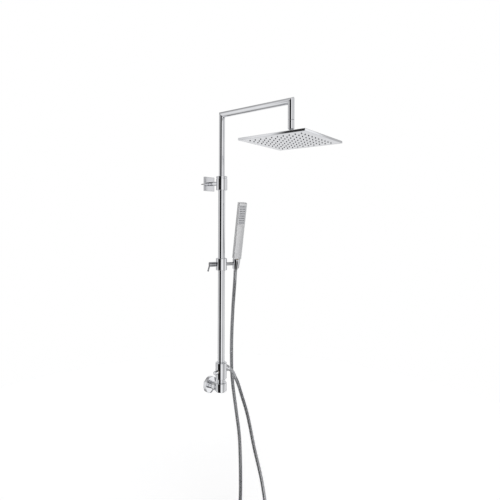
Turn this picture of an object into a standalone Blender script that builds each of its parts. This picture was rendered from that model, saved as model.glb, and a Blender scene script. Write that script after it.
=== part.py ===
"""Rainfall shower column: wall inlet, diverter, telescopic riser, overhead arm, rain head and hand shower.

Metres, +Z up, -Y out of the wall. The origin is the centre of the wall inlet on the wall's surface.
The riser stands on the line x = 0, y = -STANDOFF.
"""

import math

import bmesh
import bpy
from mathutils import Euler, Matrix, Vector

MM = 0.001
GAP = 0.3 * MM  # between pieces that touch
RING = 28  # sides of a large turned piece
SMALL_RING = 16  # sides of a small turned piece
TOOL_PHASE = 0.37  # of one side

# Column
STANDOFF = 70 * MM  # wall to riser axis
ARM_REACH = 306 * MM  # riser axis to drop tube axis
ARM_Z = 1031 * MM  # axis of the overhead arm
TUBE_R = 11 * MM  # upper riser, arm and drop tube
TUBE_BORE = 9.8 * MM
RISER_R = 13 * MM  # lower riser, in which the upper one slides
RISER_BORE = 11.7 * MM
RISER_FOOT_Z = 80 * MM
RISER_TOP_Z = 785 * MM
UPPER_FOOT_Z = 440 * MM
DROP_END_Z = 967 * MM

# Inlet and diverter
ROSETTE_R = 31 * MM
ROSETTE_T = 21 * MM
ROSETTE_COLLAR = (20 * MM, 7 * MM)  # radius and length of the part on the wall
INLET_R = 13 * MM
INLET_BORE = 7.5 * MM
LOWER_BODY_R = 21 * MM
LOWER_BODY_Z = (-11.5 * MM, 22 * MM)
DIVERTER_R = 21 * MM
DIVERTER_Z = (36.5 * MM, 98.5 * MM)
KNOB_Z = 66 * MM
KNOB_R = 7.5 * MM
KNOB_X = (-36 * MM, -22 * MM)
OUTLET_Z = 86 * MM  # where the outlet's axis crosses the riser's axis
OUTLET_DROP = math.radians(30)  # outlet below the horizontal
NIPPLE_R = 10.4 * MM
OUTLET_NUT = (32.6 * MM, 52 * MM)  # along the outlet's axis, from the riser's axis

# Wall bracket
BRACKET_Z = 772.5 * MM
PLATE = (54 * MM, 8 * MM)  # side, depth
POST_R = 8 * MM
CLAMP_R = 21 * MM
CLAMP_H = 53 * MM

# Slider, holder and hand shower
SLIDER_Z = 468 * MM
SLIDER_TURN = math.radians(-33)  # shaft direction, from +X
BLOCK_R = 21 * MM
BLOCK_H = 45 * MM
HOLDER_X = 58 * MM  # riser axis to cup axis, along the shaft
HOLDER_TILT = math.radians(18)  # hand shower leans out of the wall
ARM_R = 6.5 * MM
CUP_Z = (-20 * MM, 18 * MM)
CUP_R = (12.4 * MM, 15 * MM)  # outer radius at the bottom and at the top
CONE_Z = (-26 * MM, 21 * MM)
CONE_R = (7.8 * MM, 11.5 * MM)
HANDSET = (32 * MM, 20 * MM, 220 * MM)  # width, depth, length
HANDSET_FOOT = 22 * MM
HANDSET_ROWS = 8
HANDSET_COLUMNS = 4

# Rain head
HEAD = 250 * MM
HEAD_Z = (895 * MM, 903 * MM)
HEAD_WALL = 2 * MM
NOZZLES = 10  # along each side
NOZZLE_PITCH = 21.5 * MM
BALL_Z = 922 * MM
BALL_R = 9 * MM

# Shower hose, from the hand shower's nut to the outlet's nut
HOSE_R = 7 * MM
HOSE_POINTS = 56  # evenly spaced, between the straight stubs
HOSE_ROUTE = [  # millimetres
    (72, -76, 397.5), (87, -57.5, 327.5), (90, -51.5, 282), (91.8, -44.5, 178.5),
    (91.8, -43.5, 96), (93, -44.5, 29), (96, -48, -27.5), (101, -61, -124),
    (105.2, -74.4, -224), (100.5, -84, -320), (100, -86, -420), (100, -86, -503),
    (101, -93.8, -532), (103, -114.9, -553), (106, -143.9, -561), (109, -172.9, -553),
    (111.5, -194, -532), (113, -201.8, -503), (113, -199, -465), (109.5, -182, -362),
    (102.8, -150, -242), (100.2, -117.5, -121), (94.6, -90.5, -45), (91.3, -77, -8),
    (84, -70.8, 13), (72.5, -70, 34.5), (61, -70, 48),
]

CHROME = ("chrome", (0.82, 0.83, 0.85), 0.06, 1.0)
SATIN = ("satin_steel", (0.62, 0.63, 0.65), 0.3, 1.0)
BRASS = ("brass", (0.78, 0.63, 0.36), 0.28, 1.0)
SILICONE = ("silicone", (0.33, 0.34, 0.36), 0.55, 0.0)
PLASTIC = ("black_plastic", (0.06, 0.06, 0.065), 0.45, 0.0)
HOSE_METAL = ("hose_metal", (0.66, 0.67, 0.69), 0.25, 1.0)

TO_FRONT = (math.pi / 2, 0, 0)  # turns local +Z to -Y
TO_RIGHT = (0, math.pi / 2, 0)  # turns local +Z to +X
TO_LEFT = (0, -math.pi / 2, 0)  # turns local +Z to -X


def clear_scene():
    for obj in list(bpy.data.objects):
        bpy.data.objects.remove(obj, do_unlink=True)


def new_collection(name, hidden):
    collection = bpy.data.collections.new(name)
    bpy.context.scene.collection.children.link(collection)
    collection.hide_render = hidden
    return collection


def material_of(spec):
    name, colour, roughness, metallic = spec
    material = bpy.data.materials.get(name)
    if material is None:
        material = bpy.data.materials.new(name)
        material.use_nodes = True
        shader = material.node_tree.nodes["Principled BSDF"]
        shader.inputs["Base Color"].default_value = (*colour, 1)
        shader.inputs["Roughness"].default_value = roughness
        shader.inputs["Metallic"].default_value = metallic
    return material


def add_object(name, mesh, spec, place=(0, 0, 0), turn=(0, 0, 0), parent=None):
    obj = bpy.data.objects.new(name, mesh)
    obj.location = place
    obj.rotation_euler = turn
    obj.parent = parent
    if spec is None:
        obj.hide_render = True
        obj.display_type = "WIRE"
        CUTTERS.objects.link(obj)
    else:
        mesh.materials.append(material_of(spec))
        PARTS.objects.link(obj)
    return obj


def add_empty(name, place, turn=(0, 0, 0), parent=None):
    empty = bpy.data.objects.new(name, None)
    empty.location = place
    empty.rotation_euler = turn
    empty.parent = parent
    PARTS.objects.link(empty)
    return empty


def turned(name, profile, spec, place=(0, 0, 0), turn=(0, 0, 0), parent=None, sides=RING):
    """A profile of (radius, height) points, top to bottom on its outer side, turned about local Z.

    It is closed where its ends stand off the axis. A tool starts part of a side further round, so that its
    edges never run into the edges of what it cuts.
    """
    mesh = bpy.data.meshes.new(name)
    count = len(profile)
    start = TOOL_PHASE * 2 * math.pi / sides if spec is None else 0
    across, along = math.cos(start), math.sin(start)
    ring = profile[0][0] > 0 or profile[-1][0] > 0
    edges = [(i, i + 1) for i in range(count - 1)] + ([(count - 1, 0)] if ring else [])
    mesh.from_pydata([(r * across, r * along, z) for r, z in profile], edges, [])
    obj = add_object(name, mesh, spec, place, turn, parent)
    screw = obj.modifiers.new("turn", "SCREW")
    screw.axis = "Z"
    screw.steps = screw.render_steps = sides
    screw.use_merge_vertices = True
    screw.merge_threshold = 0.00001
    return obj


def rod(name, radius, low, high, spec, place=(0, 0, 0), turn=(0, 0, 0), parent=None, sides=RING, chamfer=0.0):
    c = chamfer
    profile = [(0, high), (radius - c, high), (radius, high - c), (radius, low + c), (radius - c, low), (0, low)]
    if not c:
        profile = [(0, high), (radius, high), (radius, low), (0, low)]
    return turned(name, profile, spec, place, turn, parent, sides)


def pipe(name, radius, bore, low, high, spec, place=(0, 0, 0), turn=(0, 0, 0), parent=None, sides=RING):
    profile = [(bore, high), (radius, high), (radius, low), (bore, low)]
    return turned(name, profile, spec, place, turn, parent, sides)


def block(name, low, high, spec, place=(0, 0, 0), turn=(0, 0, 0), parent=None, bevel=0.0, segments=2):
    """A box between two corners."""
    size = Vector(high) - Vector(low)
    centre = (Vector(high) + Vector(low)) / 2
    mesh = bpy.data.meshes.new(name)
    shape = bmesh.new()
    matrix = Matrix.Translation(centre) @ Matrix.Diagonal((*size, 1))
    bmesh.ops.create_cube(shape, size=1, matrix=matrix)
    shape.to_mesh(mesh)
    shape.free()
    obj = add_object(name, mesh, spec, place, turn, parent)
    if bevel:
        rounding = obj.modifiers.new("rounding", "BEVEL")
        rounding.width = bevel
        rounding.segments = segments
    return obj


def combine(obj, other, operation):
    step = obj.modifiers.new(other.name, "BOOLEAN")
    step.operation = operation
    step.object = other
    return obj


def cut(obj, other):
    return combine(obj, other, "DIFFERENCE")


def join(obj, other):
    return combine(obj, other, "UNION")


def grid_of_cones(name, places, root_r, tip_r, low, high, turn=(0, 0, 0), parent=None):
    """Six-sided tapers at the (x, y) places of a local plane, as one tool mesh."""
    mesh = bpy.data.meshes.new(name)
    shape = bmesh.new()
    for x, y in places:
        matrix = Matrix.Translation((x, y, (low + high) / 2))
        bmesh.ops.create_cone(
            shape, cap_ends=True, segments=6, radius1=tip_r, radius2=root_r, depth=high - low, matrix=matrix
        )
    shape.to_mesh(mesh)
    shape.free()
    return add_object(name, mesh, None, (0, 0, 0), turn, parent)


def build_inlet():
    """Rosette, threaded inlet pipe, union nut and the lower body, along the wall's normal."""
    collar_r, collar_end = ROSETTE_COLLAR
    edge = 1 * MM
    rosette = [
        (INLET_R + GAP, ROSETTE_T), (ROSETTE_R - edge, ROSETTE_T), (ROSETTE_R, ROSETTE_T - edge),
        (ROSETTE_R, collar_end + edge), (ROSETTE_R - edge, collar_end), (collar_r, collar_end), (collar_r, 0),
        (INLET_R + GAP, 0),
    ]
    turned("wall_rosette", rosette, CHROME, turn=TO_FRONT, sides=36)
    thread_r, pipe_end = 10.3 * MM, 40.9 * MM
    pipe_profile = [
        (INLET_BORE, pipe_end), (INLET_R, pipe_end), (INLET_R, 0), (thread_r, 0),
        (thread_r, -12 * MM), (INLET_BORE, -12 * MM),
    ]
    turned("inlet_pipe", pipe_profile, CHROME, turn=TO_FRONT)
    pipe("inlet_washer", 11 * MM, INLET_BORE, 41.2 * MM, 42.7 * MM, SILICONE, turn=TO_FRONT, sides=SMALL_RING)
    nut = [
        (11.3 * MM, 48.6 * MM), (14.5 * MM, 48.6 * MM), (15.5 * MM, 47.6 * MM), (15.5 * MM, 35 * MM),
        (14.5 * MM, 34 * MM), (13.4 * MM, 34 * MM), (13.4 * MM, 41.1 * MM), (11.3 * MM, 41.1 * MM),
    ]
    turned("inlet_nut", nut, CHROME, turn=TO_FRONT)

    low, high = LOWER_BODY_Z
    axis = (0, -STANDOFF, 0)
    body = [
        (0, high + 26 * MM), (11 * MM, high + 26 * MM), (11 * MM, high), (LOWER_BODY_R - MM, high),
        (LOWER_BODY_R, high - MM), (LOWER_BODY_R, low + 2 * MM), (LOWER_BODY_R - 2 * MM, low), (0, low),
    ]
    lower_body = turned("lower_body", body, CHROME, axis)
    join(lower_body, rod("inlet_boss", 11 * MM, 43 * MM, 62 * MM, None, turn=TO_FRONT, sides=RING))
    cut(lower_body, rod("inlet_way", 7 * MM, 30 * MM, STANDOFF, None, turn=TO_FRONT, sides=SMALL_RING))
    cut(lower_body, rod("rising_way", 8 * MM, -7 * MM, 60 * MM, None, axis, sides=SMALL_RING))
    pipe("coupling_ring", 16 * MM, 11.4 * MM, high + GAP, DIVERTER_Z[0] - GAP, CHROME, axis)


def build_diverter():
    """Upper body with its spindle, knob, hose outlet and the riser's seat."""
    axis = (0, -STANDOFF, 0)
    low, high = DIVERTER_Z
    edge = 1.5 * MM
    outside = [
        (0, high), (DIVERTER_R - edge, high), (DIVERTER_R, high - edge),
        (DIVERTER_R, low + edge), (DIVERTER_R - edge, low), (0, low),
    ]
    body = turned("diverter_body", outside, CHROME, axis)
    outlet_turn = (0, math.pi / 2 + OUTLET_DROP, 0)
    outlet_axis = (0, -STANDOFF, OUTLET_Z)
    boss_end = 30.9 * MM
    join(body, rod("outlet_boss", 9.8 * MM, 10 * MM, boss_end, None, outlet_axis, outlet_turn))
    ways = [
        (0, high + 5 * MM), (RISER_R + GAP, high + 5 * MM), (RISER_R + GAP, 78 * MM), (11.5 * MM, 78 * MM),
        (11.5 * MM, 49 * MM), (11.4 * MM, 49 * MM), (11.4 * MM, low - 5 * MM), (0, low - 5 * MM),
    ]
    cut(body, turned("diverter_ways", ways, None, axis))
    knob_axis = (0, -STANDOFF, KNOB_Z)
    gland_r = 7 * MM
    cut(body, rod("gland_seat", gland_r + GAP, 5 * MM, 30 * MM, None, knob_axis, TO_LEFT, sides=SMALL_RING))
    spigot_r, spigot_from = 7 * MM, 22.5 * MM
    seat_from = spigot_from - 2.3 * MM  # leaves a chamber behind the spigot
    cut(body, rod("outlet_seat", spigot_r + GAP, seat_from, 40 * MM, None, outlet_axis, outlet_turn, sides=SMALL_RING))
    cut(body, rod("outlet_way", 1.5 * MM, 5 * MM, 17 * MM, None, (0, -STANDOFF, 71.5 * MM), TO_RIGHT, sides=12))

    pipe("diverter_gland", gland_r, 4.4 * MM, 9 * MM, 21.6 * MM, BRASS, knob_axis, TO_LEFT, sides=SMALL_RING)
    spindle = [
        (0, 31 * MM), (4 * MM, 31 * MM), (4 * MM, 8 * MM), (6.2 * MM, 8 * MM), (6.2 * MM, 5 * MM), (0, 5 * MM),
    ]
    turned("diverter_spindle", spindle, BRASS, knob_axis, TO_LEFT, sides=SMALL_RING)
    near, far = -KNOB_X[1], -KNOB_X[0]
    knob = rod("diverter_knob", KNOB_R, near, far, CHROME, knob_axis, TO_LEFT, sides=24, chamfer=1 * MM)
    cut(knob, rod("knob_bore", 4.3 * MM, near - 5 * MM, 31.3 * MM, None, knob_axis, TO_LEFT, sides=SMALL_RING))

    flange_from, thread_end = boss_end + GAP, 37.4 * MM
    nipple = [
        (5 * MM, thread_end), (NIPPLE_R, thread_end), (NIPPLE_R, flange_from), (spigot_r, flange_from),
        (spigot_r, spigot_from), (5 * MM, spigot_from),
    ]
    turned("outlet_nipple", nipple, CHROME, outlet_axis, outlet_turn, sides=24)
    washer_end = thread_end + 2.1 * MM
    pipe("outlet_washer", NIPPLE_R, 5.6 * MM, thread_end + GAP, washer_end, SILICONE, outlet_axis, outlet_turn,
         sides=SMALL_RING)
    near, far = OUTLET_NUT
    nut = [
        (5 * MM, far), (8.2 * MM, far), (11.7 * MM, 42 * MM), (11.7 * MM, near), (NIPPLE_R + 2 * GAP, near),
        (NIPPLE_R + 2 * GAP, washer_end + GAP), (5 * MM, washer_end + GAP),
    ]
    turned("hose_nut_lower", nut, CHROME, outlet_axis, outlet_turn, sides=24)
    pipe("riser_seal", RISER_R, 10 * MM, 78.3 * MM, 79.7 * MM, SILICONE, axis, sides=24)


def build_wall_bracket():
    """Hollow square cover, fixing plate with its two screws, post, clamp and locking collet."""
    side, depth = PLATE
    half = side / 2
    at = (0, 0, BRACKET_Z)
    cover = block("wall_plate", (-half, -depth, -half), (half, 0, half), CHROME, at, bevel=1.2 * MM)
    wall = 4 * MM
    cut(cover, block("plate_hollow", (wall - half, -depth + 2.5 * MM, wall - half),
                     (half - wall, 5 * MM, half - wall), None, at))
    stud_r = 5 * MM
    cut(cover, rod("stud_way", stud_r + GAP, 0, 20 * MM, None, at, TO_FRONT, sides=SMALL_RING))
    fixing_y = (-3.3 * MM, -0.8 * MM)
    fixing = block("fixing_plate", (-20 * MM, fixing_y[0], -20 * MM), (20 * MM, fixing_y[1], 20 * MM), SATIN, at)
    cut(fixing, rod("fixing_hole", stud_r + GAP, -5 * MM, 20 * MM, None, at, TO_FRONT, sides=SMALL_RING))
    for word, x in (("left", -13 * MM), ("right", 13 * MM)):
        place = (x, 0, BRACKET_Z)
        cut(fixing, rod("screw_hole_" + word, 2.4 * MM, -5 * MM, 10 * MM, None, place, TO_FRONT, sides=12))
        screw = [
            (0, 5 * MM), (3 * MM, 5 * MM), (4 * MM, 3.6 * MM), (2 * MM, 3.6 * MM), (2 * MM, -24 * MM), (0, -28 * MM),
        ]
        turned("wall_screw_" + word, screw, SATIN, place, TO_FRONT, sides=12)
    post_end = STANDOFF - CLAMP_R + 4 * MM
    post = [
        (0, post_end), (POST_R, post_end), (POST_R, depth + GAP), (stud_r, depth + GAP),
        (stud_r, 1.2 * MM), (0, 1.2 * MM),
    ]
    turned("bracket_post", post, CHROME, at, TO_FRONT, sides=24)

    axis = (0, -STANDOFF, BRACKET_Z)
    half = CLAMP_H / 2
    clamp = rod("bracket_clamp", CLAMP_R, -half, half, CHROME, axis, chamfer=1 * MM)
    shoulder = RISER_TOP_Z - BRACKET_Z + GAP
    collet_r = 16 * MM
    bore = [
        (0, half + 5 * MM), (collet_r + GAP, half + 5 * MM), (collet_r + GAP, shoulder), (RISER_R + GAP, shoulder),
        (RISER_R + GAP, -half - 5 * MM), (0, -half - 5 * MM),
    ]
    cut(clamp, turned("clamp_bore", bore, None, axis))
    cut(clamp, rod("post_seat", POST_R + GAP, 0, post_end + GAP, None, at, TO_FRONT, sides=24))
    collet = pipe("clamp_collet", collet_r, TUBE_R + 1.2 * GAP, shoulder + GAP, half - 1 * MM, PLASTIC, axis)
    screw_at = (0, -STANDOFF, BRACKET_Z + shoulder + 6 * MM)
    cut(collet, rod("collet_dimple", 2.4 * MM, 14 * MM, 20 * MM, None, screw_at, TO_RIGHT, sides=12))
    cut(clamp, rod("screw_way", 2.4 * MM, 14 * MM, 30 * MM, None, screw_at, TO_RIGHT, sides=12))
    rod("lock_screw", 2 * MM, 14.4 * MM, 20.4 * MM, SATIN, screw_at, TO_RIGHT, sides=12)


def mitre(obj, name, corner, normal):
    """Cuts away all on the normal's side of a plane that crosses the tube's corner."""
    normal = Vector(normal).normalized()
    reach = 60 * MM
    centre = Vector(corner) - normal * (GAP / 2)
    half = reach / 2
    turn = Vector((0, 0, 1)).rotation_difference(normal).to_euler()
    cut(obj, block(name, (-half, -half, 0), (half, half, reach), None, centre, turn))


def build_risers_and_arm():
    axis = (0, -STANDOFF, 0)
    pipe("lower_riser", RISER_R, RISER_BORE, RISER_FOOT_Z, RISER_TOP_Z, CHROME, axis)

    bush_foot, spigot_top = UPPER_FOOT_Z - 15 * MM, UPPER_FOOT_Z + 12 * MM
    groove = (bush_foot + 4 * MM, bush_foot + 7 * MM)
    bush = [
        (7.5 * MM, spigot_top), (9.4 * MM, spigot_top), (9.4 * MM, UPPER_FOOT_Z - GAP), (11.3 * MM, UPPER_FOOT_Z - GAP),
        (11.3 * MM, groove[1]), (10 * MM, groove[1]), (10 * MM, groove[0]), (11.3 * MM, groove[0]),
        (11.3 * MM, bush_foot), (7.5 * MM, bush_foot),
    ]
    turned("piston_bush", bush, PLASTIC, axis)
    pipe("piston_seal", 11.5 * MM, 10.3 * MM, groove[0] + GAP, groove[1] - GAP, SILICONE, axis)

    first = (0, -STANDOFF, ARM_Z)
    last = (0, -STANDOFF - ARM_REACH, ARM_Z)
    over = 30 * MM
    riser = pipe("upper_riser", TUBE_R, TUBE_BORE, UPPER_FOOT_Z, ARM_Z + over, CHROME, axis)
    mitre(riser, "riser_mitre", first, (0, -1, 1))
    arm = pipe("overhead_arm", TUBE_R, TUBE_BORE, -over, ARM_REACH + over, CHROME, first, TO_FRONT)
    mitre(arm, "arm_mitre_back", first, (0, 1, -1))
    mitre(arm, "arm_mitre_front", last, (0, -1, -1))
    drop = pipe("drop_tube", TUBE_R, TUBE_BORE, DROP_END_Z, ARM_Z + over, CHROME, (last[0], last[1], 0))
    mitre(drop, "drop_mitre", last, (0, 1, 1))


def build_ball_joint(axis):
    """Ball connector, the seat that rocks on the ball, and the nut that holds both to the head."""
    neck_r = 5 * MM
    shoulder = BALL_Z + 15 * MM
    top, plug_top = DROP_END_Z - GAP, DROP_END_Z + 10 * MM
    ball_from = math.asin(neck_r / BALL_R)
    arc = [ball_from + (math.pi - ball_from) * i / 9 for i in range(10)]
    ball = [(BALL_R * math.sin(a), BALL_Z + BALL_R * math.cos(a)) for a in arc]
    ball[-1] = (0, BALL_Z - BALL_R)
    profile = [(0, plug_top), (9.4 * MM, plug_top), (9.4 * MM, top), (TUBE_R, top), (TUBE_R, shoulder),
               (neck_r, shoulder - 2 * MM)] + ball
    connector = turned("ball_connector", profile, CHROME, axis, sides=24)
    cut(connector, rod("ball_way", 3 * MM, BALL_Z - 20 * MM, plug_top + 10 * MM, None, axis, sides=12))

    seat = [
        (9.4 * MM, BALL_Z - 2.5 * MM), (10.8 * MM, BALL_Z - 2.5 * MM), (10.8 * MM, BALL_Z - 7 * MM),
        (6.6 * MM, BALL_Z - 7 * MM), (8.3 * MM, BALL_Z - 5 * MM),
    ]
    turned("ball_seat", seat, PLASTIC, axis, sides=24)

    foot = HEAD_Z[1] + GAP
    nut = [
        (9 * MM, BALL_Z + 10.5 * MM), (10.8 * MM, BALL_Z + 10.5 * MM), (13 * MM, BALL_Z + 7 * MM), (13 * MM, foot + MM),
        (12.6 * MM, foot), (12.1 * MM, foot), (12.1 * MM, BALL_Z + 4 * MM), (8.1 * MM, BALL_Z + 5 * MM),
    ]
    turned("swivel_nut", nut, CHROME, axis, sides=24)


def build_rain_head():
    """Cover tray, perforated face and the silicone mat whose nipples stand through it."""
    axis = (0, -STANDOFF - ARM_REACH, 0)
    build_ball_joint(axis)
    half = HEAD / 2
    low, high = HEAD_Z
    cover = block("head_cover", (-half, -half, low), (half, half, high), CHROME, axis)
    inner = half - HEAD_WALL
    cut(cover, block("cover_hollow", (-inner, -inner, low - 5 * MM), (inner, inner, high - HEAD_WALL), None, axis))
    boss_top = high + 8 * MM
    join(cover, rod("inlet_boss_head", 11.7 * MM, high - MM, boss_top, None, axis, sides=24))
    cut(cover, rod("head_inlet", 8 * MM, high - 1.2 * MM, boss_top + 5 * MM, None, axis, sides=SMALL_RING))
    cut(cover, rod("head_way", 6 * MM, low, boss_top, None, axis, sides=12))
    pipe("flow_strainer", 7.6 * MM, 2 * MM, high + 1 * MM, high + 3 * MM, SATIN, axis, sides=SMALL_RING)

    centre = (NOZZLES - 1) / 2
    steps = [(i - centre) * NOZZLE_PITCH for i in range(NOZZLES)]
    places = [(x, y - STANDOFF - ARM_REACH) for x in steps for y in steps]
    edge = inner - GAP
    face_low, face_high = low + 0.2 * MM, low + 1.8 * MM
    face = block("spray_face", (-edge, -edge, face_low), (edge, edge, face_high), SATIN, axis)
    cut(face, grid_of_cones("face_holes", places, 2.6 * MM, 2.6 * MM, low - 3 * MM, low + 4 * MM))
    edge -= 3 * MM
    mat_low, mat_high = face_high + GAP, face_high + GAP + 1.2 * MM
    mat = block("nozzle_mat", (-edge, -edge, mat_low), (edge, edge, mat_high), SILICONE, axis)
    join(mat, grid_of_cones("nozzle_tips", places, 2.2 * MM, 1.5 * MM, low - 1.8 * MM, mat_low + 0.6 * MM))


def cone_radius(z):
    share = (z - CONE_Z[0]) / (CONE_Z[1] - CONE_Z[0])
    return CONE_R[0] + share * (CONE_R[1] - CONE_R[0])


def build_slider():
    """Sliding block with its bush, the clamp lever on one side and the holder on the other."""
    frame = add_empty("slider_axis", (0, -STANDOFF, SLIDER_Z), (0, 0, SLIDER_TURN))
    half = BLOCK_H / 2
    bush_r = 15.4 * MM
    pipe("slider_bush", bush_r, RISER_R + 1.2 * GAP, -half + 2 * MM, half - 2 * MM, PLASTIC, parent=frame)
    slider = rod("slider_block", BLOCK_R, -half, half, CHROME, parent=frame, chamfer=1 * MM)
    cut(slider, rod("block_bore", bush_r + 1.3 * GAP, -half - 5 * MM, half + 5 * MM, None, parent=frame))
    socket_floor = 16.7 * MM
    cut(slider, rod("shaft_socket", ARM_R + GAP, 10 * MM, 30 * MM, None, turn=TO_RIGHT, parent=frame, sides=24))
    cut(slider, rod("lever_socket", 4.2 * MM + GAP, 10 * MM, 30 * MM, None, turn=TO_LEFT, parent=frame,
                    sides=SMALL_RING))

    knob = [
        (0, 48 * MM), (8 * MM, 48 * MM), (9 * MM, 47 * MM), (9 * MM, 23.3 * MM), (8 * MM, 22.3 * MM),
        (4.2 * MM, 22.3 * MM), (4.2 * MM, socket_floor), (0, socket_floor),
    ]
    lever = turned("lever_knob", knob, CHROME, turn=TO_LEFT, parent=frame, sides=24)
    lean = math.radians(15)
    handle_r = 3.1 * MM
    pivot = (-44 * MM, 0, 4 * MM)
    lever_turn = (0, math.pi + lean, 0)
    cut(lever, rod("handle_way", handle_r + GAP, -2 * MM, 30 * MM, None, pivot, lever_turn, frame, SMALL_RING))
    rod("lever_handle", handle_r, -1.5 * MM, 31 * MM, CHROME, pivot, lever_turn, frame, SMALL_RING, 0.8 * MM)

    cup_frame = add_empty("holder_axis", (HOLDER_X, 0, 0), (HOLDER_TILT, 0, 0), frame)
    low, high = CUP_Z
    clearance = 0.45 * MM
    cup = [
        (cone_radius(high) + clearance, high), (CUP_R[1], high), (CUP_R[0], low),
        (cone_radius(low) + clearance, low),
    ]
    holder = turned("holder_cup", cup, CHROME, parent=cup_frame)
    slot_turn = (0, 0, math.radians(-45))
    slot_half = 7.5 * MM
    cut(holder, block("hose_slot", (0, -slot_half, low - 5 * MM), (30 * MM, slot_half, high + 5 * MM), None,
                      turn=slot_turn, parent=cup_frame))
    arm = rod("holder_arm", ARM_R, 11.5 * MM, HOLDER_X - 17 * MM, None, turn=TO_LEFT, parent=cup_frame, sides=24)
    join(holder, arm)
    return cup_frame


def build_hand_shower(frame):
    """Stick body, spray face and mat, threaded inlet and the hose's conical nut, about the cup's axis."""
    width, depth, length = HANDSET
    low, high = HANDSET_FOOT, HANDSET_FOOT + length
    x, y = width / 2, depth / 2
    body = block("handset_body", (-x, -y, low), (x, y, high), CHROME, parent=frame, bevel=2.5 * MM)
    pocket_z = (high - 80 * MM, high - 8 * MM)
    pocket_x = 12 * MM
    cut(body, block("spray_pocket", (-pocket_x, -y - 5 * MM, pocket_z[0]), (pocket_x, -MM, pocket_z[1]), None,
                    parent=frame))
    cut(body, rod("handset_way", 6 * MM, low - 5 * MM, pocket_z[0] + 8 * MM, None, parent=frame, sides=SMALL_RING))

    row, column = 8.8 * MM, 5 * MM
    middle = (pocket_z[0] + pocket_z[1]) / 2
    places = [
        ((j - (HANDSET_COLUMNS - 1) / 2) * column, middle + (i - (HANDSET_ROWS - 1) / 2) * row)
        for i in range(HANDSET_ROWS) for j in range(HANDSET_COLUMNS)
    ]
    # In the tools' turned frame local Z runs out of the face and local Y runs down the body
    on_face = [(px, -pz) for px, pz in places]
    out = (-math.pi / 2, 0, 0)
    face_x = pocket_x - GAP
    face = block("handset_face", (-face_x, -y + GAP, pocket_z[0] + GAP), (face_x, -y + 2 * MM, pocket_z[1] - GAP),
                 SATIN, parent=frame)
    cut(face, grid_of_cones("handset_holes", on_face, 1.3 * MM, 1.3 * MM, -y - 3 * MM, -y + 4 * MM, out, frame))
    mat_y = -y + 2 * MM + GAP
    mat = block("handset_mat", (-face_x + MM, mat_y, pocket_z[0] + 1.3 * MM),
                (face_x - MM, mat_y + 1.2 * MM, pocket_z[1] - 1.3 * MM), SILICONE, parent=frame)
    join(mat, grid_of_cones("handset_tips", on_face, 1.0 * MM, 0.8 * MM, -y - 0.4 * MM, mat_y + 0.6 * MM, out, frame))

    thread_r = 9 * MM
    inlet = [
        (3.5 * MM, low + 11 * MM), (5.7 * MM, low + 11 * MM), (5.7 * MM, low - GAP), (thread_r, low - GAP),
        (thread_r, 9 * MM), (3.5 * MM, 9 * MM),
    ]
    turned("handset_inlet", inlet, BRASS, parent=frame, sides=24)
    pipe("handset_washer", 9 * MM, 5.2 * MM, 7.2 * MM, 8.7 * MM, SILICONE, parent=frame, sides=SMALL_RING)
    floor = 6.9 * MM
    nut_bore = thread_r + GAP
    nut = [
        (nut_bore, CONE_Z[1]), (CONE_R[1], CONE_Z[1]), (CONE_R[0], CONE_Z[0]), (4.5 * MM, CONE_Z[0]),
        (4.5 * MM, floor), (nut_bore, floor),
    ]
    turned("hose_nut_upper", nut, CHROME, parent=frame)


def smooth_route(route, count):
    """Evenly spaced points on a centripetal Catmull-Rom curve through the route."""
    ends = [2 * route[0] - route[1]] + route + [2 * route[-1] - route[-2]]
    fine = []
    steps = 24
    for a, b, c, d in zip(ends, ends[1:], ends[2:], ends[3:]):
        t1 = (b - a).length ** 0.5
        t2 = t1 + (c - b).length ** 0.5
        t3 = t2 + (d - c).length ** 0.5
        for i in range(steps):
            t = t1 + (t2 - t1) * i / steps
            ab = a.lerp(b, t / t1)
            bc = b.lerp(c, (t - t1) / (t2 - t1))
            cd = c.lerp(d, (t - t2) / (t3 - t2))
            abc = ab.lerp(bc, t / t2)
            bcd = bc.lerp(cd, (t - t1) / (t3 - t1))
            fine.append(abc.lerp(bcd, (t - t1) / (t2 - t1)))
    fine.append(route[-1])
    lengths = [0.0]
    for p, q in zip(fine, fine[1:]):
        lengths.append(lengths[-1] + (q - p).length)
    points, i = [], 0
    for k in range(count):
        target = lengths[-1] * k / (count - 1)
        while i < len(fine) - 2 and lengths[i + 1] < target:
            i += 1
        share = (target - lengths[i]) / (lengths[i + 1] - lengths[i])
        points.append(fine[i].lerp(fine[i + 1], share))
    return points


def build_hose():
    slider = Matrix.Translation((0, -STANDOFF, SLIDER_Z)) @ Matrix.Rotation(SLIDER_TURN, 4, "Z")
    holder = slider @ Matrix.Translation((HOLDER_X, 0, 0)) @ Matrix.Rotation(HOLDER_TILT, 4, "X")
    stub = 6 * MM  # straight where it leaves a nut
    cone_end = CONE_Z[0] - GAP
    start = [holder @ Vector((0, 0, cone_end)), holder @ Vector((0, 0, cone_end - stub))]
    outlet = Vector((0, -STANDOFF, OUTLET_Z))
    along = Euler((0, math.pi / 2 + OUTLET_DROP, 0)).to_matrix() @ Vector((0, 0, 1))
    nut_end = OUTLET_NUT[1] + GAP
    finish = [outlet + along * (nut_end + stub), outlet + along * nut_end]
    route = start[1:] + [Vector(p) * MM for p in HOSE_ROUTE] + finish[:1]
    points = start[:1] + smooth_route(route, HOSE_POINTS) + finish[1:]
    curve = bpy.data.curves.new("hose", "CURVE")
    curve.dimensions = "3D"
    curve.bevel_depth = HOSE_R
    curve.bevel_resolution = 2
    curve.use_fill_caps = True
    spline = curve.splines.new("POLY")
    spline.points.add(len(points) - 1)
    for knot, point in zip(spline.points, points):
        knot.co = (*point, 1)
    return add_object("hose", curve, HOSE_METAL)


def shade_round_pieces():
    for obj in PARTS.objects:
        if obj.type == "MESH":
            obj.data.shade_smooth()


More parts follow.
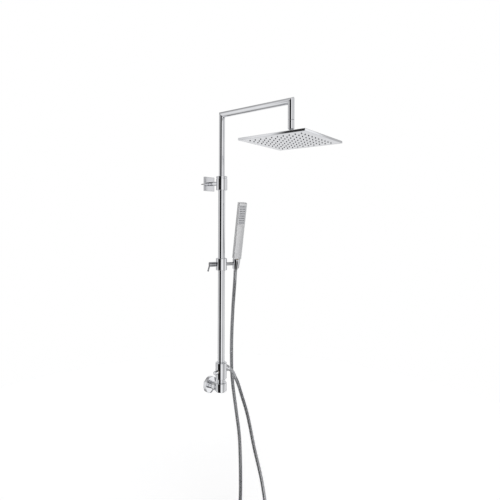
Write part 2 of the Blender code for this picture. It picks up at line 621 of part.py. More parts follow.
clear_scene()
PARTS = new_collection("rainfall_shower_column", False)
CUTTERS = new_collection("cutters", True)
build_inlet()
build_diverter()
build_wall_bracket()
build_risers_and_arm()
build_rain_head()
build_hand_shower(build_slider())
build_hose()
shade_round_pieces()
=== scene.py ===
"""Looks of the rainfall shower column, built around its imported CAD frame.

Lengths are in metres. Profiles and drill sizes are written in millimetres and scaled by MM.
"""

import math

import bmesh
import bpy
from mathutils import Matrix, Vector


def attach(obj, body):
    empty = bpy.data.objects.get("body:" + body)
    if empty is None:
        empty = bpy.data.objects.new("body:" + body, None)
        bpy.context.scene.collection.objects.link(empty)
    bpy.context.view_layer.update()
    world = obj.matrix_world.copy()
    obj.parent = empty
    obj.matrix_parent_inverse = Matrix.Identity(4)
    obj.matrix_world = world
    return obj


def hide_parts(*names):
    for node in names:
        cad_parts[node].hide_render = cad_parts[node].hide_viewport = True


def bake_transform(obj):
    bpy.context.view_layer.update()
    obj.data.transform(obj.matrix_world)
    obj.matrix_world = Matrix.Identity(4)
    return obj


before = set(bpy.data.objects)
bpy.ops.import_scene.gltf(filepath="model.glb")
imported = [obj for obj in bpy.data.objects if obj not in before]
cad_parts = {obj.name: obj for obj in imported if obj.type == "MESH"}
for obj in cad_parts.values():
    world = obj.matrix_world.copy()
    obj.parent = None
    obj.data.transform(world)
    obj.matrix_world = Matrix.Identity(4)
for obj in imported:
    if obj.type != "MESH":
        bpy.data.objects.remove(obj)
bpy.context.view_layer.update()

MM = 0.001
scene = bpy.context.scene
scene.view_settings.view_transform = "Standard"

# ---------------------------------------------------------------- camera
SENSOR_MM = 36
LENS_MM = 29.1744
VERTICAL_SHIFT = -0.06426  # puts the horizon 6.4 % of the picture's side above its middle
CAMERA_PLACE = (-1.1452, -1.0904, 0.6428)
CAMERA_HEADING = math.radians(-52.3)
CAMERA_ROLL = math.radians(0.22)

camera_data = bpy.data.cameras.new("camera")
camera_data.sensor_width = SENSOR_MM
camera_data.lens = LENS_MM
camera_data.shift_y = VERTICAL_SHIFT
camera_data.clip_end = 200
camera = bpy.data.objects.new("camera", camera_data)
scene.collection.objects.link(camera)
camera.matrix_world = (
    Matrix.Translation(CAMERA_PLACE)
    @ Matrix.Rotation(CAMERA_HEADING, 4, "Z")
    @ Matrix.Rotation(math.pi / 2, 4, "X")
    @ Matrix.Rotation(CAMERA_ROLL, 4, "Z")
)
scene.camera = camera

# ---------------------------------------------------------------- frames of the object's axes
STANDOFF = 0.070
REACH = 0.306
ARM_Z = 1.031
BRACKET_Z = 0.7725
KNOB_Z = 0.066
OUTLET_Z = 0.086
SLIDER_Z = 0.468
COLUMN = Matrix.Translation((0, -STANDOFF, 0))
FRONT = Matrix.Rotation(math.pi / 2, 4, "X")
TO_RIGHT = Matrix.Rotation(math.pi / 2, 4, "Y")
TO_LEFT = Matrix.Rotation(-math.pi / 2, 4, "Y")
BRACKET = Matrix.Translation((0, 0, BRACKET_Z))
OUTLET_TURN = math.radians(120)  # the outlet points 30 degrees below level
SLIDER_TURN = math.radians(-33)
HOLDER_OUT = 0.058
HOLDER_LEAN = math.radians(18)
KNOB = Matrix.Translation((0, -STANDOFF, KNOB_Z)) @ TO_LEFT
OUTLET = Matrix.Translation((0, -STANDOFF, OUTLET_Z)) @ Matrix.Rotation(OUTLET_TURN, 4, "Y")
SLIDER = Matrix.Translation((0, -STANDOFF, SLIDER_Z)) @ Matrix.Rotation(SLIDER_TURN, 4, "Z")
HOLDER = SLIDER @ Matrix.Translation((HOLDER_OUT, 0, 0)) @ Matrix.Rotation(HOLDER_LEAN, 4, "X")
HEAD = Matrix.Translation((0, -STANDOFF - REACH, 0))


# ---------------------------------------------------------------- materials
def node(tree, kind, values=(), **settings):
    made = tree.nodes.new(kind)
    for key, value in settings.items():
        setattr(made, key, value)
    for key, value in dict(values).items():
        made.inputs[key].default_value = value
    return made


def ranged(tree, from_min, from_max, to_min, to_max):
    values = {"From Min": from_min, "From Max": from_max, "To Min": to_min, "To Max": to_max}
    return node(tree, "ShaderNodeMapRange", values)


def blotches(tree, coordinates, scale, detail, low, high, roughness=0.5):
    """A noise pattern spread between two values."""
    noise = node(tree, "ShaderNodeTexNoise", {"Scale": scale, "Detail": detail, "Roughness": roughness})
    spread = ranged(tree, 0.3, 0.7, low, high)
    tree.links.new(coordinates, noise.inputs["Vector"])
    tree.links.new(noise.outputs["Fac"], spread.inputs["Value"])
    return spread.outputs["Result"]


def coloured(tree, factor, dark, light):
    ramp = node(tree, "ShaderNodeValToRGB")
    ramp.color_ramp.elements[0].color = (*dark, 1)
    ramp.color_ramp.elements[1].color = (*light, 1)
    tree.links.new(factor, ramp.inputs["Fac"])
    return ramp.outputs["Color"]


SPOT_SCALE = 210
SPOT_EDGE = (0.12, 0.2)  # where a dried spot starts to fade and where it ends
GRAIN_DEPTH = 0.0002


def material(name, dark, light, metallic, rough, scale, bump=0.0, bump_scale=900, stretch=(1, 1, 1),
             spots=0.0):
    """Principled surface whose colour and roughness wander, with a fine grain and dried water spots."""
    made = bpy.data.materials.new(name)
    made.use_nodes = True
    tree = made.node_tree
    shader = tree.nodes["Principled BSDF"]
    shader.inputs["Metallic"].default_value = metallic
    place = node(tree, "ShaderNodeTexCoord")
    mapping = node(tree, "ShaderNodeMapping", {"Scale": stretch})
    tree.links.new(place.outputs["Object"], mapping.inputs["Vector"])
    at = mapping.outputs["Vector"]
    wander = blotches(tree, at, scale, 3, 0.0, 1.0)
    tree.links.new(coloured(tree, wander, dark, light), shader.inputs["Base Color"])
    roughness = blotches(tree, at, scale * 2.3, 4, rough[0], rough[1])
    if spots:
        cell_values = {"Scale": SPOT_SCALE, "Randomness": 1.0}
        cells = node(tree, "ShaderNodeTexVoronoi", cell_values, feature="SMOOTH_F1")
        edge = ranged(tree, *SPOT_EDGE, spots, 0.0)
        total = node(tree, "ShaderNodeMath", operation="ADD")
        tree.links.new(place.outputs["Object"], cells.inputs["Vector"])
        tree.links.new(cells.outputs["Distance"], edge.inputs["Value"])
        tree.links.new(edge.outputs["Result"], total.inputs[0])
        tree.links.new(roughness, total.inputs[1])
        roughness = total.outputs["Value"]
    tree.links.new(roughness, shader.inputs["Roughness"])
    if bump:
        grain = blotches(tree, at, bump_scale, 5, 0.0, 1.0, 0.6)
        relief = node(tree, "ShaderNodeBump", {"Strength": bump, "Distance": GRAIN_DEPTH})
        tree.links.new(grain, relief.inputs["Height"])
        tree.links.new(relief.outputs["Normal"], shader.inputs["Normal"])
    return made


CHROME = material("polished_chrome", (0.83, 0.84, 0.86), (0.93, 0.935, 0.95), 1.0, (0.03, 0.075), 14,
                  bump=0.02, bump_scale=500, spots=0.03)
# A darker copy of the chrome with painted shade, for the lever knob and handle
LEVER_SHADED_CHROME = material("lever_chrome_painted_shade", (0.42, 0.425, 0.44), (0.52, 0.525, 0.54), 1.0, (0.1, 0.18), 20,
                       bump=0.02, bump_scale=500, spots=0.03)
# A paler copy of the chrome with painted light, for the hand shower
LIT_CHROME = material("hand_shower_chrome_painted_light", (0.96, 0.965, 0.975), (0.99, 0.992, 0.995), 0.6, (0.06, 0.12), 20,
                      bump=0.02, bump_scale=500, spots=0.03)
# A darker copy of the chrome with painted shade, for the wall plate and the holder arm
SHADED_CHROME = material("small_parts_chrome_painted_shade", (0.6, 0.605, 0.62), (0.7, 0.705, 0.72), 1.0, (0.05, 0.11), 20,
                  bump=0.02, bump_scale=500, spots=0.03)
SATIN = material("satin_steel", (0.66, 0.67, 0.69), (0.76, 0.77, 0.79), 1.0, (0.2, 0.34), 22,
                 bump=0.12, bump_scale=420, stretch=(1, 6, 1))
FACE = material("polished_face", (0.74, 0.75, 0.77), (0.85, 0.86, 0.88), 1.0, (0.12, 0.2), 18,
                bump=0.03, bump_scale=380, stretch=(5, 1, 1), spots=0.05)
ZINC = material("zinc_plated", (0.5, 0.5, 0.47), (0.68, 0.68, 0.64), 1.0, (0.3, 0.45), 90, bump=0.2)
BRASS = material("turned_brass", (0.68, 0.5, 0.25), (0.82, 0.65, 0.36), 1.0, (0.2, 0.36), 60, bump=0.1)
SILICONE = material("grey_silicone", (0.07, 0.073, 0.08), (0.13, 0.135, 0.145), 0.0, (0.45, 0.65), 160,
                    bump=0.25, bump_scale=1400)
RUBBER = material("sealing_rubber", (0.018, 0.018, 0.02), (0.05, 0.05, 0.052), 0.0, (0.55, 0.75), 120,
                  bump=0.3, bump_scale=1500)
PLASTIC = material("moulded_plastic", (0.02, 0.02, 0.022), (0.05, 0.05, 0.055), 0.0, (0.35, 0.5), 70,
                   bump=0.2, bump_scale=1100)
SPIRAL = material("spiral_steel", (0.5, 0.505, 0.52), (0.68, 0.685, 0.7), 1.0, (0.14, 0.24), 130,
                  bump=0.06, bump_scale=800)


# ---------------------------------------------------------------- mesh tools
SHARP_ANGLE = math.radians(32)
NEARLY_STRAIGHT = math.radians(172)
CORNER_SHARE = 0.42  # the most of a side that the rounding of its corner may use


def add_piece(name, mesh, surface, place, body, stands_for):
    """Makes the object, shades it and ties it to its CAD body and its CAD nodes."""
    mesh.materials.append(surface)
    for polygon in mesh.polygons:
        polygon.use_smooth = True
    mesh.set_sharp_from_angle(angle=SHARP_ANGLE)
    made = bpy.data.objects.new(name, mesh)
    scene.collection.objects.link(made)
    made.matrix_world = place
    if body:
        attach(made, body)
    if stands_for:
        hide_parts(*stands_for.split())
    return made


def finish_mesh(name, shape):
    bmesh.ops.remove_doubles(shape, verts=shape.verts, dist=1e-7)
    bmesh.ops.recalc_face_normals(shape, faces=shape.faces)
    mesh = bpy.data.meshes.new(name)
    shape.to_mesh(mesh)
    shape.free()
    return mesh


def eased(profile, radius, closed, arcs=3):
    """The profile with each corner rounded, as far as its sides allow."""
    out = []
    count = len(profile)
    for i, here in enumerate(profile):
        here = Vector(here[:2])
        at_end = not closed and i in (0, count - 1)
        if at_end or here.x < 1e-6:
            out.append(here)
            continue
        before = Vector(profile[i - 1][:2]) - here
        after = Vector(profile[(i + 1) % count][:2]) - here
        own = profile[i][2] if len(profile[i]) > 2 else radius
        if before.length < 1e-6 or after.length < 1e-6:
            continue
        turn = before.angle(after)
        if turn > NEARLY_STRAIGHT or own <= 0:
            out.append(here)
            continue
        cut = min(own / math.tan(turn / 2), CORNER_SHARE * before.length, CORNER_SHARE * after.length)
        a, b = here + before.normalized() * cut, here + after.normalized() * cut
        for k in range(arcs + 1):
            t = k / arcs
            out.append(a * (1 - t) ** 2 + here * 2 * t * (1 - t) + b * t**2)
    return out


def lathe_shape(shape, profile, steps, closed, span=math.tau, start=0.0, place=Matrix.Identity(4)):
    """Adds the turned profile to a bmesh. A span under a full turn is closed with flat ends."""
    full = span > math.tau - 1e-6
    rings = []
    for j in range(steps if full else steps + 1):
        angle = start + span * j / steps
        c, s = math.cos(angle), math.sin(angle)
        rings.append([shape.verts.new(place @ Vector((p.x * c, p.x * s, p.y))) for p in profile])
    pairs = list(zip(range(len(profile)), range(1, len(profile))))
    if closed:
        pairs.append((len(profile) - 1, 0))
    for j in range(steps):
        here, there = rings[j], rings[(j + 1) % len(rings)]
        for a, b in pairs:
            on_axis_a, on_axis_b = profile[a].x < 1e-7, profile[b].x < 1e-7
            if on_axis_a and on_axis_b:
                continue
            corners = [here[a], there[a], there[b], here[b]]
            if on_axis_a:
                corners = [here[a], there[b], here[b]]
            if on_axis_b:
                corners = [here[a], there[a], here[b]]
            shape.faces.new(corners)
    if not full:
        shape.faces.new(rings[0])
        shape.faces.new(rings[-1])


def turned(name, body, stands_for, surface, profile, place, ease=0.35, steps=72,
           span=math.tau, start=0.0):
    """A turned piece from (radius, height) points in millimetres."""
    closed = profile[0][0] > 0 or profile[-1][0] > 0
    points = [(p[0] * MM, p[1] * MM) + tuple(v * MM for v in p[2:]) for p in profile]
    shape = bmesh.new()
    lathe_shape(shape, eased(points, ease * MM, closed), steps, closed, span, start)
    return add_piece(name, finish_mesh(name, shape), surface, place, body, stands_for)


def rounded_box_shape(shape, low, high, radius, segments):
    """Adds a box with rounded edges, as its own bmesh island."""
    box = bmesh.new()
    size = Vector(high) - Vector(low)
    middle = (Vector(high) + Vector(low)) / 2
    bmesh.ops.create_cube(box, size=1, matrix=Matrix.Translation(middle) @ Matrix.Diagonal((*size, 1)))
    bmesh.ops.bevel(box, geom=list(box.edges), offset=radius, segments=segments, profile=0.5, affect="EDGES")
    mesh = bpy.data.meshes.new("box")
    box.to_mesh(mesh)
    box.free()
    shape.from_mesh(mesh)
    bpy.data.meshes.remove(mesh)


def cuboid(shape, middle, size):
    matrix = Matrix.Translation(middle) @ Matrix.Diagonal((*size, 1))
    bmesh.ops.create_cube(shape, size=1, matrix=matrix)


def carve(piece, cutters):
    """Cuts the cutter meshes out of the piece and keeps the result as its mesh."""
    for tool in cutters:
        step = piece.modifiers.new("cut", "BOOLEAN")
        step.object = tool
        step.solver = "EXACT"
    bpy.context.view_layer.update()
    graph = bpy.context.evaluated_depsgraph_get()
    result = bpy.data.meshes.new_from_object(piece.evaluated_get(graph))
    piece.modifiers.clear()
    piece.data = result
    for tool in cutters:
        bpy.data.objects.remove(tool)
    result.set_sharp_from_angle(angle=SHARP_ANGLE)


def tool_from(shape, place):
    mesh = finish_mesh("tool", shape)
    tool = bpy.data.objects.new("tool", mesh)
    scene.collection.objects.link(tool)
    tool.matrix_world = place
    return tool


def drill(radius, low, high, place, steps=48):
    shape = bmesh.new()
    profile = [Vector((0, high * MM)), Vector((radius * MM, high * MM)), Vector((radius * MM, low * MM)),
               Vector((0, low * MM))]
    lathe_shape(shape, profile, steps, False)
    return tool_from(shape, place)


# ---------------------------------------------------------------- hose
HOSE_ROUTE = [
    (0.0720, -0.0760, 0.3975), (0.0870, -0.0575, 0.3275), (0.0900, -0.0515, 0.2820),
    (0.0918, -0.0445, 0.1785), (0.0918, -0.0435, 0.0960), (0.0930, -0.0445, 0.0290),
    (0.0960, -0.0480, -0.0275), (0.1010, -0.0610, -0.1240), (0.1052, -0.0744, -0.2240),
    (0.1005, -0.0840, -0.3200), (0.1000, -0.0860, -0.4200), (0.1000, -0.0860, -0.5030),
    (0.1010, -0.0938, -0.5320), (0.1030, -0.1149, -0.5530), (0.1060, -0.1439, -0.5610),
    (0.1090, -0.1729, -0.5530), (0.1115, -0.1940, -0.5320), (0.1130, -0.2018, -0.5030),
    (0.1130, -0.1990, -0.4650), (0.1095, -0.1820, -0.3620), (0.1028, -0.1500, -0.2420),
    (0.1002, -0.1175, -0.1210), (0.0946, -0.0905, -0.0450), (0.0913, -0.0770, -0.0080),
    (0.0840, -0.0708, 0.0130), (0.0725, -0.0700, 0.0345), (0.0610, -0.0700, 0.0480),
]
STUB = 0.006  # straight length of hose at each nut
UPPER_NUT_FOOT = -0.0263
LOWER_NUT_TOP = 0.0523
hose_start = [HOLDER @ Vector((0, 0, z)) for z in (UPPER_NUT_FOOT, UPPER_NUT_FOOT - STUB)]
hose_finish = [OUTLET @ Vector((0, 0, z)) for z in (LOWER_NUT_TOP + STUB, LOWER_NUT_TOP)]


def smooth_route(route, spacing):
    """Points at an even spacing on a centripetal Catmull-Rom curve through the route."""
    ends = [2 * route[0] - route[1]] + route + [2 * route[-1] - route[-2]]
    fine = []
    steps = 60
    for a, b, c, d in zip(ends, ends[1:], ends[2:], ends[3:]):
        t1 = (b - a).length ** 0.5
        t2 = t1 + (c - b).length ** 0.5
        t3 = t2 + (d - c).length ** 0.5
        for i in range(steps):
            t = t1 + (t2 - t1) * i / steps
            ab = a.lerp(b, t / t1)
            bc = b.lerp(c, (t - t1) / (t2 - t1))
            cd = c.lerp(d, (t - t2) / (t3 - t2))
            abc = ab.lerp(bc, t / t2)
            bcd = bc.lerp(cd, (t - t1) / (t3 - t1))
            fine.append(abc.lerp(bcd, (t - t1) / (t2 - t1)))
    fine.append(route[-1])
    lengths = [0.0]
    for p, q in zip(fine, fine[1:]):
        lengths.append(lengths[-1] + (q - p).length)
    count = max(2, round(lengths[-1] / spacing) + 1)
    points, i = [], 0
    for k in range(count):
        target = lengths[-1] * k / (count - 1)
        while i < len(fine) - 2 and lengths[i + 1] < target:
            i += 1
        points.append(fine[i].lerp(fine[i + 1], (target - lengths[i]) / (lengths[i + 1] - lengths[i])))
    return points


RIB_PITCH = 0.0026
RIB_STEPS = 4  # rings in each rib
RIB_PROFILE = (0.0064, 0.0070, 0.0070, 0.0066)
HOSE_SIDES = 20

hose_line = smooth_route(
    hose_start + [Vector(p) for p in HOSE_ROUTE] + hose_finish, RIB_PITCH / RIB_STEPS
)


def tangents_of(points):
    out = []
    for i in range(len(points)):
        a, b = points[max(i - 1, 0)], points[min(i + 1, len(points) - 1)]
        out.append((b - a).normalized())
    return out


def carried_frames(points):
    """A side vector for each point, carried along the line without twist."""
    tangents = tangents_of(points)
    side = tangents[0].orthogonal().normalized()
    sides = []
    for tangent in tangents:
        side = (side - tangent * side.dot(tangent)).normalized()
        sides.append(side.copy())
    return tangents, sides


hose_tangents, hose_sides = carried_frames(hose_line)


def hose_piece(name, first, last):
    """The hose between two points of its line."""
    shape = bmesh.new()
    rings = []
    for i in range(first, last + 1):
        radius = RIB_PROFILE[i % RIB_STEPS]
        across = hose_tangents[i].cross(hose_sides[i])
        ring = []
        for k in range(HOSE_SIDES):
            angle = math.tau * k / HOSE_SIDES
            offset = hose_sides[i] * math.cos(angle) + across * math.sin(angle)
            ring.append(shape.verts.new(hose_line[i] + offset * radius))
        rings.append(ring)
    for lower, upper in zip(rings, rings[1:]):
        for k in range(HOSE_SIDES):
            n = (k + 1) % HOSE_SIDES
            shape.faces.new((lower[k], lower[n], upper[n], upper[k]))
    shape.faces.new(rings[0])
    shape.faces.new(rings[-1])
    bmesh.ops.recalc_face_normals(shape, faces=shape.faces)
    mesh = bpy.data.meshes.new(name)
    shape.to_mesh(mesh)
    shape.free()
    made = add_piece(name, mesh, SPIRAL, Matrix.Identity(4), None, "hose")
    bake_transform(made)


def line_index(height):
    """The first point where the hose's line crosses that height."""
    for i in range(len(hose_line) - 1):
        if (hose_line[i].z - height) * (hose_line[i + 1].z - height) <= 0:
            return i
    return len(hose_line) - 1


# Above this the falling length follows the sliding carriage whole, and the rising length stays still
HOSE_FIXED_TOP = 0.030
HOLDER_CUT = 0.345
SLIDER_CUT = 0.225
loop_index = min(range(len(hose_line)), key=lambda i: hose_line[i].z)
cuts = [0, line_index(HOLDER_CUT), line_index(SLIDER_CUT), line_index(HOSE_FIXED_TOP), loop_index,
        len(hose_line) - 1]
hose_piece("hose_under_cup", cuts[0], cuts[1])
hose_piece("hose_below_holder", cuts[1], cuts[2])
hose_piece("hose_beside_riser", cuts[2], cuts[3])
hose_piece("hose_falling", cuts[3], cuts[4])
hose_piece("hose_rising", cuts[4], cuts[5])

# ---------------------------------------------------------------- inlet
turned("rosette", "column", "wall_rosette", CHROME,
       [(13.4, 20.9), (30.1, 20.9, 0.5), (31, 20, 0.6), (31, 7.9, 0.4), (30.3, 7, 0.3), (20, 7), (20, 0.2),
        (13.4, 0.2)], FRONT, ease=0.3, steps=128)
turned("inlet_pipe_shown", "column", "inlet_pipe", CHROME,
       [(7.5, 40.8), (13, 40.8), (13, 0)] + [(10.4 - 0.6 * (k % 2), -0.45 * k - 0.2) for k in range(26)]
       + [(10, -12), (7.5, -12)], FRONT, ease=0.2)
turned("inlet_washer_shown", "column", "inlet_washer", RUBBER,
       [(7.5, 42.7), (11, 42.7), (11, 41.2), (7.5, 41.2)], FRONT)
turned("inlet_nut_shown", "column", "inlet_nut", CHROME,
       [(11.3, 48.6), (14.6, 48.6, 0.8), (15.5, 47.6), (15.5, 45.8), (15.2, 45.5), (15.2, 37.5),
        (15.5, 37.2), (15.5, 35), (14.6, 34, 0.8), (13.4, 34), (13.4, 41.1), (11.3, 41.1)],
       FRONT, steps=96)
turned("lower_body_shown", "column", "lower_body", CHROME,
       [(0, 48), (11, 48), (11, 22.1), (20.2, 22.1, 0.8), (21, 21.2, 0.8), (21, -9.6, 1), (19.2, -11.4, 1),
        (12, -11.4), (11.4, -10.8), (0, -10.8)], COLUMN, ease=0.5, steps=112)
turned("inlet_boss", "column", "", CHROME, [(0, 43), (11, 43), (11, 62), (0, 62)], FRONT)
turned("coupling_ring_shown", "column", "coupling_ring", CHROME,
       [(11.4, 36.2), (15.2, 36.2), (16, 35.4), (16, 31), (15.5, 30.6), (15.5, 28), (16, 27.6), (16, 23.1),
        (15.2, 22.3), (11.4, 22.3)], COLUMN, ease=0.25, steps=96)

# ---------------------------------------------------------------- diverter
diverter = turned("diverter_body_shown", "column", "diverter_body", CHROME,
                  [(13.3, 98.5), (19.7, 98.5, 1), (21, 97.2, 1), (21, 37.8, 1), (19.7, 36.5, 1), (11.4, 36.5),
                   (11.4, 78), (13.3, 78)], COLUMN, ease=0.3, steps=128)
carve(diverter, [drill(7.3, 5, 30, KNOB), drill(7.3, 20.2, 40, OUTLET)])
turned("outlet_boss", "column", "", CHROME,
       [(7.3, 30.9), (9.3, 30.9), (9.8, 30.4), (9.8, 17), (7.3, 17)], OUTLET, steps=80)
turned("gland_shown", "column", "diverter_gland", BRASS,
       [(4.4, 20.7), (6.6, 20.7), (7, 20.3), (7, 9), (4.4, 9)], KNOB)
turned("spindle_shown", "diverter", "diverter_spindle", BRASS,
       [(0, 31), (4, 31), (4, 8), (6.2, 8), (6.2, 5), (0, 5)], KNOB)
turned("knob_shown", "diverter", "diverter_knob", CHROME,
       [(0, 35.6), (5, 35.6), (5.6, 36, 0.3), (6.7, 36, 0.6), (7.5, 35.2, 0.6), (7.5, 22.8, 0.5),
        (6.9, 22, 0.4), (4.3, 22), (4.3, 31.3), (0, 31.3)], KNOB, steps=96)
turned("nipple_shown", "column", "outlet_nipple", CHROME,
       [(5, 37.4)] + [(10.4 - 0.5 * (k % 2), 37.3 - 0.5 * k) for k in range(11)]
       + [(10.4, 31.8), (10.4, 31.2), (7, 31.2), (7, 22.5), (5, 22.5)], OUTLET, ease=0.15)
turned("outlet_washer_shown", "column", "outlet_washer", RUBBER,
       [(5.6, 39.5), (10.4, 39.5), (10.4, 37.7), (5.6, 37.7)], OUTLET)
turned("lower_nut_shown", "column", "hose_nut_lower", CHROME,
       [(5, 52), (7.6, 52), (8.2, 51.3), (11, 43.6, 3), (11.7, 41, 1), (11.7, 39.2), (11.3, 38.8),
        (11.3, 37.8), (11.7, 37.4), (11.7, 33.4), (11.2, 32.6), (11, 32.6), (11, 39.8), (5, 39.8)],
       OUTLET, steps=96)
turned("riser_seal_shown", "column", "riser_seal", RUBBER,
       [(10, 79.7), (13, 79.7), (13, 78.3), (10, 78.3)], COLUMN)

# ---------------------------------------------------------------- wall bracket
PLATE_HALF = 27 * MM
PLATE_HOLLOW = (0.046, 0.009, 0.046)
SCREW_X = 0.013
shape = bmesh.new()
rounded_box_shape(shape, (-PLATE_HALF, -8 * MM, -PLATE_HALF), (PLATE_HALF, 0, PLATE_HALF), 1.3 * MM, 4)
plate = add_piece("wall_plate_shown", finish_mesh("wall_plate_shown", shape), SHADED_CHROME, BRACKET, "column",
                  "wall_plate")
shape = bmesh.new()
cuboid(shape, (0, -1 * MM, 0), PLATE_HOLLOW)
carve(plate, [tool_from(shape, BRACKET), drill(5.3, 0, 20, BRACKET @ FRONT)])
shape = bmesh.new()
rounded_box_shape(shape, (-0.020, -0.0033, -0.020), (0.020, -0.0008, 0.020), 0.4 * MM, 2)
fixing = add_piece("fixing_plate_shown", finish_mesh("fixing_plate_shown", shape), ZINC, BRACKET, "column",
                   "fixing_plate")
carve(fixing, [drill(5.3, -5, 20, BRACKET @ FRONT)]
      + [drill(2.4, -5, 10, Matrix.Translation((x, 0, 0)) @ BRACKET @ FRONT, 24)
         for x in (-SCREW_X, SCREW_X)])
thread = [(2.05 - 0.75 * (k % 2), 3.4 - 0.85 * k) for k in range(32)]
for word, x in (("left", -SCREW_X), ("right", SCREW_X)):
    turned("wall_screw_" + word + "_shown", "column", "wall_screw_" + word, ZINC,
           [(0, 4.2), (1.4, 5), (3, 5, 1), (4, 3.7)] + thread + [(0, -28)],
           Matrix.Translation((x, 0, 0)) @ BRACKET @ FRONT, ease=0.1, steps=32)
turned("bracket_post_shown", "column", "bracket_post", CHROME,
       [(0, 53), (8, 53), (8, 8.9, 0.4), (7.4, 8.3), (5, 8.3), (5, 1.2), (0, 1.2)], BRACKET @ FRONT, steps=80)
CLAMP = Matrix.Translation((0, -STANDOFF, BRACKET_Z))
clamp = turned("bracket_clamp_shown", "column", "bracket_clamp", CHROME,
               [(16.3, 26.5), (19.7, 26.5, 0.9), (20.7, 25.5, 0.9), (20.7, 20.4), (19.6, 19.9),
                (19.6, 18), (21, 17.4), (21, -25.5, 0.9), (20, -26.5, 0.9), (13.3, -26.5),
                (13.3, 12.8), (16.3, 12.8)], CLAMP, ease=0.3, steps=128)
SCREW_AT = Matrix.Translation((0, -STANDOFF, BRACKET_Z + 18.8 * MM)) @ TO_RIGHT
carve(clamp, [drill(8.3, 0, 53.3, BRACKET @ FRONT), drill(2.4, 14, 30, SCREW_AT, 32)])
turned("collet_shown", "column", "clamp_collet", PLASTIC,
       [(11.36, 25.5), (15.4, 25.5, 0.6), (16, 24.9), (16, 13.1), (11.36, 13.1)], CLAMP, steps=96)
screw = turned("lock_screw_shown", "column", "lock_screw", ZINC,
               [(0, 20.4), (1.6, 20.4), (2, 20)] + [(2 - 0.3 * (k % 2), 19.6 - 0.35 * k) for k in range(14)]
               + [(1.2, 14.4), (0, 14.4)], SCREW_AT, ease=0.08, steps=36)
shape = bmesh.new()
bmesh.ops.create_cone(shape, cap_ends=True, segments=6, radius1=1.0 * MM, radius2=1.0 * MM, depth=3 * MM,
                      matrix=Matrix.Translation((0, 0, 20.4 * MM)))
carve(screw, [tool_from(shape, SCREW_AT)])

# ---------------------------------------------------------------- risers and arm
turned("lower_riser_shown", "column", "lower_riser", CHROME,
       [(11.7, 785), (13, 785)] + [(13, 785 - 35.25 * k) for k in range(1, 20)] + [(13, 80), (11.7, 80)],
       COLUMN, ease=0.3, steps=96)
turned("piston_bush_shown", "telescope", "piston_bush", PLASTIC,
       [(7.5, 452), (9.4, 452), (9.4, 439.7), (11.3, 439.7), (11.3, 432), (10, 432), (10, 429), (11.3, 429),
        (11.3, 425), (7.5, 425)], COLUMN)
turned("piston_seal_shown", "telescope", "piston_seal", RUBBER,
       [(10.3, 431.7), (11.5, 431.7, 0.8), (11.5, 429.3, 0.8), (10.3, 429.3)], COLUMN)
TUBE_R, TUBE_BORE = 0.011, 0.0098
SEAM = 0.0002  # half of the groove at a weld
EDGE_STEP, EDGE_LENGTH = 0.0005, 0.0006  # the eased edge of a tube's end


def mitred_tube(name, stands_for, start, end, start_normal, end_normal, steps=96, rings=14):
    """A pipe whose ends lie in the planes with these normals; a plain end has the tube's own direction."""
    start, end = Vector(start), Vector(end)
    along = (end - start).normalized()
    side = Vector((1, 0, 0))
    across = along.cross(side)
    bands = []
    for radius, inset in ((TUBE_BORE, 0.0), (TUBE_R - EDGE_STEP, 0.0), (TUBE_R, EDGE_LENGTH)):
        bands.append((start, start_normal, radius, SEAM + inset))
    for k in range(1, rings):
        bands.append((start.lerp(end, k / rings), along, TUBE_R, 0.0))
    for radius, inset in ((TUBE_R, EDGE_LENGTH), (TUBE_R - EDGE_STEP, 0.0), (TUBE_BORE, 0.0)):
        bands.append((end, end_normal, radius, -SEAM - inset))
    shape = bmesh.new()
    loops = []
    for place, normal, radius, inset in bands:
        normal = Vector(normal).normalized()
        loop = []
        for k in range(steps):
            angle = math.tau * k / steps
            offset = side * math.cos(angle) * radius + across * math.sin(angle) * radius
            slide = -offset.dot(normal) / along.dot(normal)
            loop.append(shape.verts.new(place + offset + along * (slide + inset)))
        loops.append(loop)
    for a, b in zip(loops, loops[1:] + loops[:1]):
        for k in range(steps):
            n = (k + 1) % steps
            shape.faces.new((a[k], a[n], b[n], b[k]))
    add_piece(name, finish_mesh(name, shape), CHROME, Matrix.Identity(4), "arm", stands_for)


CORNER = (0, -STANDOFF, ARM_Z)
DROP_CORNER = (0, -STANDOFF - REACH, ARM_Z)
DROP_Z = 0.967
RISER_FOOT = 0.440
mitred_tube("upper_riser_shown", "upper_riser", (0, -STANDOFF, RISER_FOOT), CORNER, (0, 0, 1), (0, -1, 1))
mitred_tube("overhead_arm_shown", "overhead_arm", CORNER, DROP_CORNER, (0, -1, 1), (0, -1, -1))
mitred_tube("drop_tube_shown", "drop_tube", DROP_CORNER, (0, -STANDOFF - REACH, DROP_Z),
            (0, -1, -1), (0, 0, -1), rings=5)

# ---------------------------------------------------------------- rain head
BALL_R = 9  # millimetres, as is BALL_Z
BALL_Z = 922
ball_from = math.asin(5 / BALL_R)
ball_arc = [ball_from + (math.pi - ball_from) * i / 16 for i in range(16)]
turned("ball_connector_shown", "arm", "ball_connector", CHROME,
       [(0, 977), (9.4, 977), (9.4, 966.7), (10.6, 966.7, 0.3), (11, 966.2, 0.3), (11, 937.4, 2.2),
        (7.6, 935.5, 0.8), (5, 935)]
       + [(BALL_R * math.sin(a), BALL_Z + BALL_R * math.cos(a), 0) for a in ball_arc]
       + [(0, BALL_Z - BALL_R)], HEAD, steps=80)
turned("ball_seat_shown", "head_seat", "ball_seat", PLASTIC,
       [(9.4, 919.5), (10.8, 919.5), (10.8, 915), (6.6, 915), (8.3, 917)], HEAD)
turned("swivel_nut_shown", "rain_head", "swivel_nut", CHROME,
       [(9, 932.5), (10.4, 932.5, 0.4), (11.6, 931.4, 1.2), (13, 929, 1.6), (13, 908.6), (12.6, 908.2),
        (12.6, 907), (13, 906.6), (13, 904), (12.6, 903.4), (12.1, 903.4), (12.1, 926), (8.1, 927)],
       HEAD, steps=80)

